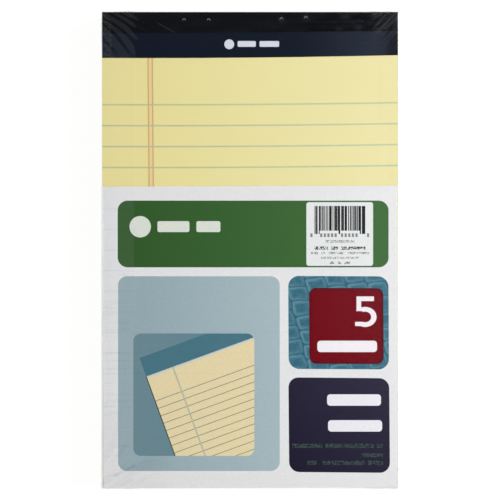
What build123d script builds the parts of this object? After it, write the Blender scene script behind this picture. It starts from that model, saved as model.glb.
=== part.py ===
from build123d import *

import math
import os

# A retail pack of junior legal pads, lying on its back with the printed side up.
# Five stapled pads lie one on another, a printed card covers the lower front of the top pad,
# and clear shrink film closes round them all.
# X runs across the width, +Y towards the bound head, +Z out of the printed front.
# The origin is the middle of the film's underside. All lengths are millimetres.

# The stack
pad_count = 5
pad_gap = 0.05
pad_stagger = 0.15
stagger_shares_x = (0.0, 1.0, -0.8, 0.5, -0.3)
stagger_shares_y = (0.4, -0.6, 0.9, -1.0, 0.2)

# Ruled sheets, glued and pinched along the head
sheet_width = 127.0
sheet_length = 204.1
sheet_count = 50
sheet_thickness = 0.085
pinch_depth = 0.3
pinch_flat = 6.5
pinch_run = 6.0

# Chipboard back
board_thickness = 0.6

# Header strip over the front of the stub; its lower edge bows up to the right
strip_thickness = 0.1
strip_depth_left = 19.6
strip_depth_middle = 19.45
strip_depth_right = 18.4

# Binding tape folded over the head
tape_thickness = 0.12
tape_depth_left = 9.0
tape_depth_middle = 8.7
tape_depth_right = 7.9
tape_back_depth = 12.0
tape_fold_share = 0.8

# Tear-off line of short slits, just under the strip's lower edge
slit_length = 4.0
slit_tie = 1.4
slit_width = 0.16
slit_inset = 0.5
slit_margin = 1.0

# Two flat-wire staples a pad
wire_width = 0.55
wire_thickness = 0.4
wire_clearance = 0.03
crown_width = 10.6
crown_bite = 0.2
clinch_share = 0.42
left_staple_offset = -22.9
left_staple_depth = 3.6
left_staple_turn = 0.0
right_staple_offset = 18.8
right_staple_depth = 2.9
right_staple_turn = 3.3
emboss_bevel_share = 0.9

# Printed card over the lower front
card_inset = 0.25
card_length = 129.5
card_thickness = 0.35
card_offset = 0.1
card_turn = 0.2

# Shrink film, its welded seam and the gathers at its corners
film_wall = 0.05
film_slack = 0.15
film_corner_share = 1.6
seam_width = 0.3
seam_thickness = 0.3
seam_bevel_share = 0.35
gather_width = 1.3
gather_height = 0.2
gather_tip_share = 0.15
gather_short_share = 0.6
front_gather_length = 14.0
front_gather_spacing = 2.6
front_gather_margin = 2.0
front_gather_angle = 42.0
front_gather_counts = {1: 6, -1: 4}
side_gather_length = 11.0
side_gather_margin = 0.8
side_gather_spread = 52.0
side_gather_count = 3

# Heights in one pad, from the back face of its chipboard
block_thickness = sheet_count * sheet_thickness
face_height = board_thickness + block_thickness
stub_height = face_height - pinch_depth
crown_top = stub_height + strip_thickness + wire_thickness - crown_bite
emboss_top = crown_top + wire_clearance + tape_thickness
pad_top = max(emboss_top, face_height + strip_thickness)
pad_pitch = pad_top + tape_thickness + pad_gap

# Places shared by the whole pack
head = sheet_length / 2
half_width = sheet_width / 2
overrun = sheet_length + sheet_width
film_corner = film_slack * film_corner_share
stack_bottom = film_wall + film_slack + tape_thickness
top_pad_back = stack_bottom + (pad_count - 1) * pad_pitch
card_back = top_pad_back + face_height
card_width = sheet_width - 2 * card_inset
content_top = max(card_back + card_thickness, top_pad_back + pad_top)
content_half_width = half_width + pad_stagger
content_head = head + tape_thickness + pad_stagger
content_foot = head + pad_stagger

# The film's outline. Its seam stands out at both ends and on the right, and only gathers stand
# out on the left, so the pack is shifted to keep the origin in the middle of its whole outline
film_half_width = content_half_width + film_slack + film_wall
film_head = content_head + film_slack + film_wall
film_foot = content_foot + film_slack + film_wall
film_top = content_top + film_slack + film_wall
film_middle = (film_head - film_foot) / 2
left_outline = film_half_width + gather_height
right_outline = film_half_width + max(seam_width, gather_height)
pack_shift = Location(((left_outline - right_outline) / 2, -film_middle, 0))


def layer_profile(lift, thickness):
    """Side view of a thin layer that follows the pinched front of the stub down to below the strip."""
    slope_start = head - pinch_flat - pinch_run
    slope_end = head - pinch_flat
    low_end = head - strip_depth_left - strip_depth_middle
    path = [(low_end, face_height), (slope_start, face_height), (slope_end, stub_height), (head, stub_height)]
    under = [(0, y, z + lift) for y, z in path]
    over = [(0, y, z + lift + thickness) for y, z in reversed(path)]
    return make_face(Polyline(*under, *over, close=True))


def across(profile, width):
    """A side profile carried across the pad, centred on its width."""
    return extrude(profile, width / 2, dir=(1, 0, 0), both=True)


def below_edge(depth_left, depth_middle, depth_right):
    """Everything on the foot side of a bowed edge that crosses the front at these depths from the head."""
    left = (-half_width, head - depth_left)
    middle = (0, head - depth_middle)
    right = (half_width, head - depth_right)
    edge = ThreePointArc(left, middle, right)
    rest = Polyline(right, (half_width, -head), (-half_width, -head), left)
    area = make_face(edge + rest)
    return extrude(area, overrun, both=True)


def staple_body(extra):
    """One staple, or with extra the room that it needs: flat wire, bent down and clinched inward."""
    half = crown_width / 2 + extra
    top = crown_top + extra
    bottom = -extra
    wire = wire_thickness + 2 * extra
    tip = crown_width / 2 - crown_width * clinch_share - extra
    right_side = [(half, top), (half, bottom), (tip, bottom), (tip, bottom + wire)]
    right_inside = [(half - wire, bottom + wire), (half - wire, top - wire)]
    right = right_side + right_inside
    left = [(-x, z) for x, z in reversed(right)]
    outline = make_face(Polyline(*right, *left, close=True))
    bends = [v for v in outline.vertices() if math.isclose(abs(v.X), half)]
    outline = fillet(bends, wire_thickness + extra)
    return extrude(Plane.XZ * outline, wire_width / 2 + extra, both=True)


def staple_places():
    """Where the two staples stand on the stub: the second is driven in slightly turned."""
    left = Location((left_staple_offset, head - left_staple_depth, 0), (0, 0, left_staple_turn))
    right = Location((right_staple_offset, head - right_staple_depth, 0), (0, 0, right_staple_turn))
    return [left, right]


def staple_rooms():
    """The pierced holes, crown grooves and clinch grooves of both staples."""
    room = staple_body(wire_clearance)
    return [place * room for place in staple_places()]


def tear_slits():
    """The row of slits for tearing off a sheet, parallel to the strip's lower edge and just under it."""
    left = Vector(-half_width, head - strip_depth_left + slit_inset)
    right = Vector(half_width, head - strip_depth_right + slit_inset)
    turn = math.degrees(math.atan2(right.Y - left.Y, right.X - left.X))
    middle = (left + right) / 2
    pitch = slit_length + slit_tie
    count = int((sheet_width - 2 * slit_margin + slit_tie) // pitch)
    slit = extrude(Rectangle(slit_length, slit_width), face_height)
    places = Location((middle.X, middle.Y, board_thickness), (0, 0, turn)) * GridLocations(pitch, pitch, count, 1)
    return [place * slit for place in places]


def sheets():
    """The block of ruled sheets: pinched at the stub, pierced for the staples and slit to tear off."""
    slope_start = head - pinch_flat - pinch_run
    slope_end = head - pinch_flat
    corners = [(-head, board_thickness), (head, board_thickness), (head, stub_height)]
    slope = [(slope_end, stub_height), (slope_start, face_height), (-head, face_height)]
    profile = make_face(Polyline(*[(0, y, z) for y, z in corners + slope], close=True))
    return across(profile, sheet_width) - staple_rooms() - tear_slits()


def backboard():
    """The chipboard back, with the staples' points clinched into its rear face."""
    board = Box(sheet_width, sheet_length, board_thickness, align=(Align.CENTER, Align.CENTER, Align.MIN))
    return board - staple_rooms()


def header_strip():
    """The coloured strip over the front of the stub, stapled through."""
    strip = across(layer_profile(0, strip_thickness), sheet_width)
    strip -= below_edge(strip_depth_left, strip_depth_middle, strip_depth_right)
    return strip - staple_rooms()


def emboss():
    """The raised pocket that a staple's crown presses up in the tape."""
    length = crown_width + 2 * (wire_clearance + tape_thickness)
    width = wire_width + 2 * (wire_clearance + tape_thickness)
    base = stub_height + strip_thickness
    pocket = Pos(0, 0, base) * Box(length, width, emboss_top - base, align=(Align.CENTER, Align.CENTER, Align.MIN))
    return chamfer(pocket.edges().group_by(Axis.Z)[-1], tape_thickness * emboss_bevel_share)


def binding_tape():
    """The tape over the head: front flange, fold and back flange, raised over the staple crowns."""
    front = across(layer_profile(strip_thickness, tape_thickness), sheet_width)
    front -= below_edge(tape_depth_left, tape_depth_middle, tape_depth_right)
    head_top = stub_height + strip_thickness + tape_thickness
    fold = [(head, -tape_thickness), (head + tape_thickness, -tape_thickness)]
    fold += [(head + tape_thickness, head_top), (head, head_top)]
    back = [(head, 0), (head, -tape_thickness), (head - tape_back_depth, -tape_thickness), (head - tape_back_depth, 0)]
    tape = front
    for corners in (fold, back):
        tape += across(make_face(Polyline(*[(0, y, z) for y, z in corners], close=True)), sheet_width)
    folded_edges = tape.edges().filter_by(Axis.X).group_by(Axis.Y)[-1]
    tape = fillet(folded_edges, tape_thickness * tape_fold_share)
    tape += [place * emboss() for place in staple_places()]
    return tape - staple_rooms()


def staples():
    """Both staples of a pad."""
    return Part() + [place * staple_body(0) for place in staple_places()]


def printed_card():
    """The thin card on the lower front, laid a little out of square."""
    card = Box(card_width, card_length, card_thickness, align=(Align.CENTER, Align.CENTER, Align.MIN))
    return Location((card_offset, card_length / 2 - head, card_back), (0, 0, card_turn)) * card


def crease_profile(share):
    """End view of a crease in the film: a low ridge whose foot is sunk in the wall."""
    half = gather_width / 2 * share
    foot = film_wall / 2
    return make_face(Polyline((-half, -foot), (half, -foot), (0, gather_height * share), close=True))


def gather(length):
    """One crease of gathered film, from its full width at the origin to a fine tip along +X."""
    root = Plane.YZ * crease_profile(1)
    tip = Plane.YZ.offset(length) * crease_profile(gather_tip_share)
    return loft([root, tip], ruled=True)


def front_gathers(side, end, end_y):
    """Creases side by side that run in over the front from one corner, short and long in turn."""
    corner = Plane(origin=(side * film_half_width, end_y, film_top), x_dir=(-side, 0, 0), z_dir=(0, 0, 1))
    count = front_gather_counts[end]
    creases = []
    for index in range(count):
        spread = (index - (count - 1) / 2) * front_gather_spacing
        along = front_gather_margin + max(spread, 0)
        down = front_gather_margin + max(-spread, 0)
        length = front_gather_length if index % 2 else front_gather_length * gather_short_share
        place = Location((along, side * end * down, 0), (0, 0, side * end * front_gather_angle))
        creases.append(corner.location * place * gather(length))
    return creases


def side_gathers(side, end, end_y):
    """Creases that spread from the seam's corner over the long side and over the end of the pack."""
    corner = (side * film_half_width, end_y, film_top / 2)
    long_side = Plane(origin=corner, x_dir=(0, -end, 0), z_dir=(side, 0, 0))
    short_end = Plane(origin=corner, x_dir=(-side, 0, 0), z_dir=(0, end, 0))
    creases = []
    for face in (long_side, short_end):
        for index in range(side_gather_count):
            turn = side_gather_spread * (2 * index / (side_gather_count - 1) - 1)
            length = side_gather_length if index % 2 else side_gather_length * gather_short_share
            place = Location((side_gather_margin, 0, 0), (0, 0, turn))
            creases.append(face.location * place * gather(length))
    return creases


def film_seam():
    """The welded seam round three sides at mid height; at the left side the film is only folded."""
    width = 2 * film_half_width + seam_width
    length = film_head + film_foot + 2 * seam_width
    fin = Pos(seam_width / 2, film_middle, film_top / 2) * Box(width, length, seam_thickness)
    rim = fin.edges().filter_by(Axis.Z, reverse=True)
    return chamfer(rim, seam_thickness * seam_bevel_share)


def shrink_film():
    """The closed film: a thin rounded skin round the stack, with its seam and corner gathers."""
    skin_length = film_head + film_foot
    outside = Pos(0, film_middle, film_top / 2) * Box(2 * film_half_width, skin_length, film_top)
    outside = fillet(outside.edges(), film_corner + film_wall)
    inner_size = (2 * film_half_width - 2 * film_wall, skin_length - 2 * film_wall, film_top - 2 * film_wall)
    inside = Pos(0, film_middle, film_top / 2) * Box(*inner_size)
    inside = chamfer(inside.edges(), film_corner)
    creases = []
    for side in (-1, 1):
        for end, end_y in ((1, film_head), (-1, -film_foot)):
            creases += front_gathers(side, end, end_y)
            creases += side_gathers(side, end, end_y)
    film = outside + film_seam() + creases
    return film - inside


def write_node(name, shape):
    """Write one node, moved so that the origin is the middle of the pack's underside."""
    export_step(pack_shift * shape, "parts/" + name + ".step")


os.makedirs("parts", exist_ok=True)

pieces = {
    "sheets": sheets(),
    "backboard": backboard(),
    "header_strip": header_strip(),
    "binding_tape": binding_tape(),
    "staples": staples(),
}

for number in range(pad_count):
    shift_x = stagger_shares_x[number % len(stagger_shares_x)] * pad_stagger
    shift_y = stagger_shares_y[number % len(stagger_shares_y)] * pad_stagger
    place = Pos(shift_x, shift_y, top_pad_back - number * pad_pitch)
    for name, piece in pieces.items():
        write_node(f"pad_{number + 1}_{name}", place * piece)

write_node("printed_card", printed_card())
write_node("shrink_film", shrink_film())
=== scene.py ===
import math

import bpy
import numpy as np
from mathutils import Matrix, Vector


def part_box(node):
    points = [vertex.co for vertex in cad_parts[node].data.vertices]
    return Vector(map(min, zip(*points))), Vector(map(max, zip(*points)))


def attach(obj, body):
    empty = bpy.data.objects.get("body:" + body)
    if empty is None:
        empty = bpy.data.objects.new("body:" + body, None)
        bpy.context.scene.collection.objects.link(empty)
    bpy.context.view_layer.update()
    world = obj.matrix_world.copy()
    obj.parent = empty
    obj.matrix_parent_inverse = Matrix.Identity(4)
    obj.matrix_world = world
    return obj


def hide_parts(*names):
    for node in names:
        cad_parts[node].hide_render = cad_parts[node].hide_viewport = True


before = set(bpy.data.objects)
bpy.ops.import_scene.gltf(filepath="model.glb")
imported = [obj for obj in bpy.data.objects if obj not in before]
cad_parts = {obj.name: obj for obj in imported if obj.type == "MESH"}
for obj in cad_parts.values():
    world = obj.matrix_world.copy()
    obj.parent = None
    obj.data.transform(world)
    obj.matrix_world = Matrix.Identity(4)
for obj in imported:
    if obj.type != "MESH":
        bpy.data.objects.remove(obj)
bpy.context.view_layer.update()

# A sealed pack of five junior legal pads lying on its back, seen from straight above.
# Meshes are in metres. Patterns are laid out in millimetres from the middle of the pack's front.

mm = 0.001
pad_count = 5
film_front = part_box("shrink_film")[1][2] / mm

# Paper blocks, as in the solids, and how far their sheets stray
sheet_count = 50
pinch_depth = 0.3 * mm
pinch_flat = 6.5 * mm
pinch_run = 6.0 * mm
sheet_fill_share = 0.9
trim_inset = 0.06 * mm
sheet_jitter = 0.03 * mm
sheet_drift = 0.05 * mm
sheet_seed, side_offset = 40, 7
freedom_power = 0.7
long_steps, slope_steps = 15, 7

# Film, as in the solids
film_round = 0.29 * mm
seam_height = 0.3 * mm
seam_half_width = 0.16 * mm
seam_whiteness = 0.25
seam_start = 2.0 * mm
film_dip = 0.28 * mm
film_dip_run = 2.2 * mm
film_dip_side = 5.0 * mm
edge_fade = 1.1 * mm
fold_width = 1.4 * mm

# Spacing of the film's points: fine near the ends of a side, wide between, and close at the seam and the card
front_reach, front_fine_step, front_wide_step = 19 * mm, 0.28 * mm, 4 * mm
side_reach, side_step = 2 * mm, 0.6 * mm
seam_step_shares = (-1.6, -0.9, -0.4, 0, 0.4, 0.9, 1.6)
card_step_count = 9

# The front's fans of creases, in millimetres: centre, reach, raggedness, fingers to a radian, seed, painted
# highlight
front_fans = (
    ((102.0, 142.0), 70.0, 0.12, 100.0, 14, 0.018),
    ((84.0, 118.0), 44.0, 0.22, 60.0, 44, 0.011),
    ((-79.0, -116.0), 52.0, 0.4, 20.0, 17, 0.0),
    ((77.0, -113.0), 32.0, 0.33, 16.0, 20, 0.0),
)
noise_lattice = 97
broad_share, finger_range = 0.65, (0.4, 0.64)
finger_stretch, finger_end_turn = 20.0, 0.9
front_rise, fan_gloss, fan_fade = 0.1, 0.1, 4.0
tape_run, tape_share = (97.5, 92.0), 0.88
# Painted shade: denser film darkens the front near its left edge
left_shade_run, left_shade_gloss = (57.5, 61.5), 0.05
# Painted shade: denser film darkens the front near its foot
foot_shade_run, foot_shade_gloss = (88.0, 99.0), 0.03

# Painted light on the film over the front, in millimetres: a painted reflection along the left edge, painted
# light where the paper shows beside the card, and a painted highlight at the right edge
left_reflection, left_reflection_end, left_reflection_fade = 0.0175, -49.4, 0.8
head_reflection_share, head_reflection_run = 0.68, (81.5, 84.0)
reflection_centre = (-88.0, 120.0)
reflection_fingers, reflection_seed, reflection_ragged = 13.0, 33, 5.0
reflection_shift_turn, reflection_rough_turn, reflection_rough_run = 0.8, 5, 3
reflection_gap_range, reflection_wave_middle = (0.15, 0.5), 0.7
finger_run = (81.0, 88.0)
card_edge_fill_light, card_edge_run = 0.78, (63.0, 63.4)
right_edge_highlight, right_edge_run = 0.3, (63.25, 63.6)
card_edge_head = (26.5, 27.5)

# Creases of the sides, in millimetres: a fan at each end, and slanted streaks above and below the seam
side_rise, side_gloss, fold_gloss = 0.2, 0.05, 0.6
side_fan_offset = 4.0
side_fan = (26.0, 0.33, 7.0)
streak_share, streak_range, streak_start = 0.4, (0.68, 1.0), (0.3, 1.5)
streak_slant, streak_lean, streak_drift, streak_jump = 0.7, 0.35, 0.05, 8

# Ruling on the sheets, in millimetres
rule_pitch = 8.98
first_rule = 62.48
rule_width, rule_softness = 0.6, 0.2
rule_rise = 0.0069
rule_bow = 0.0000817
margin_places = (-43.78, -42.02)
margin_lean = 0.0085
margin_width, margin_softness = 0.52, 0.06
margin_height = 77.3
blush_run, blush_weight = (1.9, 0.7), 0.5
edge_ink_share = 0.5
# Painted light: the paper and its rules turn paler towards the right, where the light falls brighter
paper_painted_light_run = (-75.0, 75.0)

# How fine each stretched noise is along X, Y and Z, to a millimetre
layer_stretch = (0.004, 0.004, 7.0)
ply_stretch = (0.004, 0.004, 1.6)
fleck_stretch = (1.7, 1.7, 10.2)
crepe_stretch = (5.0, 1.4, 1.4)
scuff_stretch = (0.06, 0.3, 0.3)
drawn_stretch = (0.4, 9.0, 9.0)
scale_grain_stretch = (0.9, 3.2, 0.0)
wrinkle_stretch = (0.04, 0.6, 0.0)
ripple_stretch = (0.25, 0.9, 0.5)

# What each noise is turned into: its own range, then the range that this gives
rule_fade = (0.3, 0.6, 0.78, 1.0)
layer_tones = (0.3, 0.7, 0.92, 1.05)
ply_tones = (0.3, 0.7, 0.93, 1.04)
mottle_tones = (0.3, 0.7, 0.955, 1.045)
crepe_roughness = (0.3, 0.7, 0.5, 0.62)
wire_roughness = (0.3, 0.7, 0.28, 0.42)
film_roughness = (0.0, 0.08, 0.1, 0.4)

front_light, film_veil, darkest = 0.95, 0.0045, 0.0005


def linear(level):
    """One display level, 0 to 255, as the light that it stands for."""
    share = level / 255
    return share / 12.92 if share <= 0.04045 else ((share + 0.055) / 1.055) ** 2.4


def ink(red, green, blue):
    """The surface colour that shows as these display levels in mid front, under light and the film's veil."""
    shares = [max(linear(level) - film_veil, darkest) / front_light for level in (red, green, blue)]
    return (*shares, 1.0)


# Small kit for building node trees


class Recipe:
    """Adds nodes to one tree, joined as they are added."""

    def __init__(self, tree):
        self.tree = tree

    def put(self, socket, value):
        """Join an output to the socket, or set the socket's own value."""
        if isinstance(value, bpy.types.NodeSocket):
            self.tree.links.new(value, socket)
        elif value is not None:
            socket.default_value = value

    def fill(self, sockets, **values):
        """Give values to sockets by name, with an underscore for each space."""
        for name, value in values.items():
            self.put(sockets[name.replace("_", " ")], value)

    def add(self, kind, inputs=(), **settings):
        """A node of this kind, with its settings and its inputs in order."""
        node = self.tree.nodes.new(kind)
        for name, value in settings.items():
            setattr(node, name, value)
        for socket, value in zip(node.inputs, inputs):
            self.put(socket, value)
        return node

    def calc(self, operation, *values):
        """A number worked out from others."""
        return self.add("ShaderNodeMath", values, operation=operation).outputs[0]

    def times(self, *values):
        """One number times another."""
        return self.calc("MULTIPLY", *values)

    def plus(self, *values):
        """The sum of two numbers."""
        return self.calc("ADD", *values)

    def minus(self, *values):
        """One number less another."""
        return self.calc("SUBTRACT", *values)

    def most(self, *values):
        """The larger of two numbers."""
        return self.calc("MAXIMUM", *values)

    def apart(self, *values):
        """How far apart two numbers are."""
        return self.calc("ABSOLUTE", self.minus(*values))

    def cells(self, value, size):
        """Which cell of this size a number lies in, as a whole number."""
        return self.calc("FLOOR", self.calc("DIVIDE", value, size))

    def turn(self, value, size, low):
        """How far along its cell a number lies, as a share of the cell that starts at low."""
        return self.calc("WRAP", self.calc("DIVIDE", value, size), low + 1.0, low)

    def aim(self, operation, *values):
        """A vector worked out from others."""
        return self.add("ShaderNodeVectorMath", values, operation=operation).outputs[0]

    def length(self, vector):
        """The length of a vector."""
        return self.add("ShaderNodeVectorMath", (vector,), operation="LENGTH").outputs["Value"]

    def dot(self, *vectors):
        """The dot product of two vectors."""
        return self.add("ShaderNodeVectorMath", vectors, operation="DOT_PRODUCT").outputs["Value"]

    def scale(self, vector, factor):
        """A vector times a number."""
        node = self.add("ShaderNodeVectorMath", operation="SCALE")
        self.fill(node.inputs, Vector=vector, Scale=factor)
        return node.outputs[0]

    def join(self, x, y, z=0.0):
        """A vector from its three parts."""
        return self.add("ShaderNodeCombineXYZ", (x, y, z)).outputs[0]

    def parts(self, vector):
        """The three parts of a vector."""
        return self.add("ShaderNodeSeparateXYZ", (vector,)).outputs

    def clamp(self, value):
        """A number held between 0 and 1."""
        return self.add("ShaderNodeClamp", (value,)).outputs[0]

    def step(self, value, low, high):
        """0 below low, 1 above high, and smooth between."""
        node = self.add("ShaderNodeMapRange", interpolation_type="SMOOTHSTEP")
        self.fill(node.inputs, Value=value, From_Min=low, From_Max=high)
        return node.outputs[0]

    def remap(self, value, low, high, to_low=0.0, to_high=1.0):
        """A value carried straight from one range to another, and held at its ends."""
        node = self.add("ShaderNodeMapRange")
        self.fill(node.inputs, Value=value, From_Min=low, From_Max=high, To_Min=to_low, To_Max=to_high)
        return node.outputs[0]

    def paint(self, mask, under, over, blend_type="MIX"):
        """One colour laid over another where the mask is 1."""
        node = self.add("ShaderNodeMix", data_type="RGBA", blend_type=blend_type)
        self.fill(node.inputs, Factor=mask, A=under, B=over)
        return node.outputs["Result"]

    def noise(self, vector, scale, detail=2.0, roughness=0.5):
        """Smooth noise from 0 to 1."""
        node = self.add("ShaderNodeTexNoise")
        self.fill(node.inputs, Vector=vector, Scale=scale, Detail=detail, Roughness=roughness)
        return node.outputs["Fac"]

    def streaks(self, vector, stretch, detail=2.0, roughness=0.5):
        """Smooth noise whose fineness along each direction is given by the stretch."""
        return self.noise(self.aim("MULTIPLY", vector, stretch), 1.0, detail, roughness)

    def chance(self, dimensions, *inputs):
        """A number from 0 to 1 that jumps from one place to the next."""
        return self.add("ShaderNodeTexWhiteNoise", inputs, noise_dimensions=dimensions).outputs["Value"]

    def bump(self, height, strength, distance, normal=None):
        """The surface's normal, roughened by a height."""
        node = self.add("ShaderNodeBump")
        self.fill(node.inputs, Strength=strength, Distance=distance, Height=height, Normal=normal)
        return node.outputs[0]

    def attribute(self, name):
        """A number kept on the piece."""
        return self.add("ShaderNodeAttribute", attribute_name=name).outputs["Fac"]

    def group(self, tree, **inputs):
        """A shared group, with its named inputs."""
        node = self.add("ShaderNodeGroup", node_tree=tree)
        self.fill(node.inputs, **inputs)
        return node.outputs


def shared_group(name, inputs, outputs):
    """An empty node group with named sockets, and its recipe, input sockets and output node."""
    tree = bpy.data.node_groups.new(name, "ShaderNodeTree")
    for label, kind, value in inputs:
        socket = tree.interface.new_socket(name=label, in_out="INPUT", socket_type=kind)
        if value is not None:
            socket.default_value = value
    for label, kind in outputs:
        tree.interface.new_socket(name=label, in_out="OUTPUT", socket_type=kind)
    recipe = Recipe(tree)
    given = recipe.add("NodeGroupInput").outputs
    result = recipe.add("NodeGroupOutput")
    return tree, recipe, given, result.inputs


FLOAT, VECTOR = "NodeSocketFloat", "NodeSocketVector"


def make_rounded_field():
    """How far a place lies inside a rounded rectangle, and that over the edge's softness as a mask."""
    inputs = [("Place", VECTOR, None), ("Centre", VECTOR, None), ("Half size", VECTOR, None)]
    inputs += [("Corner", FLOAT, 0.5), ("Softness", FLOAT, 0.08)]
    tree, r, given, result = shared_group("Rounded field", inputs, [("Mask", FLOAT), ("Depth", FLOAT)])
    away = r.aim("ABSOLUTE", r.aim("SUBTRACT", given["Place"], given["Centre"]))
    corner = r.join(given["Corner"], given["Corner"])
    past = r.aim("SUBTRACT", away, r.aim("SUBTRACT", given["Half size"], corner))
    outer = r.length(r.aim("MAXIMUM", past, (0.0, 0.0, 0.0)))
    x, y, _ = r.parts(past)
    inner = r.calc("MINIMUM", r.most(x, y), 0.0)
    depth = r.minus(given["Corner"], r.plus(outer, inner))
    mask = r.clamp(r.plus(r.calc("DIVIDE", depth, given["Softness"]), 0.5))
    r.fill(result, Mask=mask, Depth=depth)
    return tree


def make_broken_line():
    """Mask of a printed line too small to read: a bar cut into uneven runs, and those into chance specks."""
    inputs = [("Place", VECTOR, None), ("Bar", FLOAT, 1.0), ("Run", FLOAT, 3.0), ("Mark", FLOAT, 0.6)]
    inputs += [("Seed", FLOAT, 0.0), ("Gap", FLOAT, 0.2), ("Mark gap", FLOAT, 0.42)]
    tree, r, given, result = shared_group("Broken line", inputs, [("Mask", FLOAT)])
    x, y, _ = r.parts(given["Place"])
    run_chance = r.chance("2D", r.join(r.cells(x, given["Run"]), given["Seed"]))
    kept = r.times(given["Bar"], r.calc("GREATER_THAN", run_chance, given["Gap"]))
    mark = r.join(r.cells(x, given["Mark"]), r.cells(y, given["Mark"]), given["Seed"])
    inked = r.calc("GREATER_THAN", r.chance("3D", mark), given["Mark gap"])
    r.put(result["Mask"], r.times(kept, inked))
    return tree


def make_paper_grain():
    """Fibre tone and relief of paper or board: fine noise, with a coarser cloudiness under it."""
    inputs = [("Place", VECTOR, None), ("Grain", FLOAT, 3.0), ("Cloud", FLOAT, 0.08)]
    inputs += [("Contrast", FLOAT, 0.04), ("Relief", FLOAT, 0.1)]
    tree, r, given, result = shared_group("Paper grain", inputs, [("Tone", FLOAT), ("Normal", VECTOR)])
    fine = r.noise(given["Place"], given["Grain"], 3.0, 0.6)
    cloud = r.noise(given["Place"], given["Cloud"], 2.0)
    centred = r.minus(r.plus(r.times(fine, 0.8), r.times(cloud, 0.2)), 0.5)
    tone = r.plus(r.times(centred, r.times(given["Contrast"], 2.0)), 1.0)
    r.fill(result, Tone=tone, Normal=r.bump(fine, given["Relief"], 0.1 * mm))
    return tree


def make_ruled_lines():
    """Mask of rules a fixed pitch apart, under the first one. They rise and bow up a little to the right."""
    inputs = [("Place", VECTOR, None), ("First", FLOAT, 0.0), ("Pitch", FLOAT, 9.0)]
    tree, r, given, result = shared_group("Ruled lines", inputs, [("Mask", FLOAT)])
    x, y, _ = r.parts(given["Place"])
    bow = r.calc("MULTIPLY_ADD", r.times(x, rule_bow), x, r.times(x, rule_rise))
    level = r.minus(r.minus(y, bow), given["First"])
    off_rule = r.calc("ABSOLUTE", r.times(r.turn(level, given["Pitch"], -0.5), given["Pitch"]))
    below_first = r.calc("LESS_THAN", level, r.times(given["Pitch"], 0.5))
    rule = r.step(off_rule, rule_width / 2 + rule_softness, rule_width / 2 - rule_softness)
    r.put(result["Mask"], r.times(rule, below_first))
    return tree


def make_film_streak():
    """Mask of one soft crease: strongest on the line between two ends, and nothing past its width."""
    inputs = [("Place", VECTOR, None), ("From", VECTOR, None), ("To", VECTOR, None), ("Width", FLOAT, 0.2)]
    tree, r, given, result = shared_group("Film streak", inputs, [("Mask", FLOAT)])
    line = r.aim("SUBTRACT", given["To"], given["From"])
    away = r.aim("SUBTRACT", given["Place"], given["From"])
    share = r.clamp(r.calc("DIVIDE", r.dot(away, line), r.dot(line, line)))
    off = r.length(r.aim("SUBTRACT", away, r.scale(line, share)))
    r.put(result["Mask"], r.step(off, given["Width"], 0.0))
    return tree


rounded_field = make_rounded_field()
broken_line = make_broken_line()
paper_grain = make_paper_grain()
ruled_lines = make_ruled_lines()
film_streak = make_film_streak()


def new_material(name):
    """A material with one Principled shader, its recipe, and the place on the piece in millimetres."""
    material = bpy.data.materials.new(name)
    material.use_nodes = True
    material.node_tree.nodes.clear()
    r = Recipe(material.node_tree)
    shader = r.add("ShaderNodeBsdfPrincipled")
    r.add("ShaderNodeOutputMaterial", (shader.outputs["BSDF"],))
    spot = r.add("ShaderNodeTexCoord").outputs["Object"]
    return material, r, shader.inputs, r.scale(spot, 1 / mm)


def dress(r, shader, colour, roughness, shine, normal=None):
    """Give the shader its colour, roughness, faint shine and normal."""
    r.fill(shader, Base_Color=colour, Roughness=roughness, Specular_IOR_Level=shine, Normal=normal)


print_shift = 0.17


def flat_place(r, place):
    """The place seen from the front, with no depth, from the print's middle, a little left of the pack's."""
    x, y, _ = r.parts(place)
    return r.join(r.plus(x, print_shift), y)


def field(r, place, edges, corner, softness=0.08):
    """Mask of a rounded field given by its left, right, bottom and top edges."""
    left, right, bottom, top = edges
    centre = ((left + right) / 2, (bottom + top) / 2, 0.0)
    half = ((right - left) / 2, (top - bottom) / 2, 0.0)
    sizes = {"Centre": centre, "Half_size": half, "Corner": corner, "Softness": softness}
    return r.group(rounded_field, Place=place, **sizes)[0]


def fields(r, place, many, corner, softness=0.08):
    """Mask of several rounded fields together."""
    mask = 0.0
    for edges in many:
        mask = r.most(mask, field(r, place, edges, corner, softness))
    return mask


def disc_and_bars(r, place, disc, bars, bar_corner):
    """Mask of a plain mark: a disc, and bars beside it."""
    radius = (disc[1] - disc[0]) / 2
    return r.most(field(r, place, disc, radius), fields(r, place, bars, bar_corner))


def unread_lines(r, place, lines, corner, first_seed, **sizes):
    """Mask of printed lines too small to read, each given by its edges and its weight."""
    mask = 0.0
    for number, (edges, weight) in enumerate(lines):
        bar = field(r, place, edges, corner)
        line = r.group(broken_line, Place=place, Bar=bar, Seed=first_seed + number, **sizes)[0]
        mask = r.most(mask, r.times(line, weight))
    return mask


def shaded(r, colour, tone):
    """A colour made lighter or darker by a tone near 1."""
    grey = r.add("ShaderNodeCombineColor", (tone, tone, tone)).outputs[0]
    return r.paint(1.0, colour, grey, "MULTIPLY")


# Papers, board, tape and wire


def edge_layers(r, place, edge):
    """Tone of the cut edges, near 1: thin layers and thicker plies, and none away from the edges."""
    layers = r.remap(r.streaks(place, layer_stretch, 3.0, 0.7), *layer_tones)
    plies = r.remap(r.streaks(place, ply_stretch, 1.0, 0.7), *ply_tones)
    return r.calc("MULTIPLY_ADD", edge, r.minus(r.times(layers, plies), 1.0), 1.0)


def margin_lines(r, column):
    """Mask of the two margin lines, from the place across the page."""
    mask = 0.0
    for middle in margin_places:
        outer, inner = margin_width / 2 + margin_softness, margin_width / 2 - margin_softness
        mask = r.most(mask, r.step(r.apart(column, middle), outer, inner))
    return mask


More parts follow.
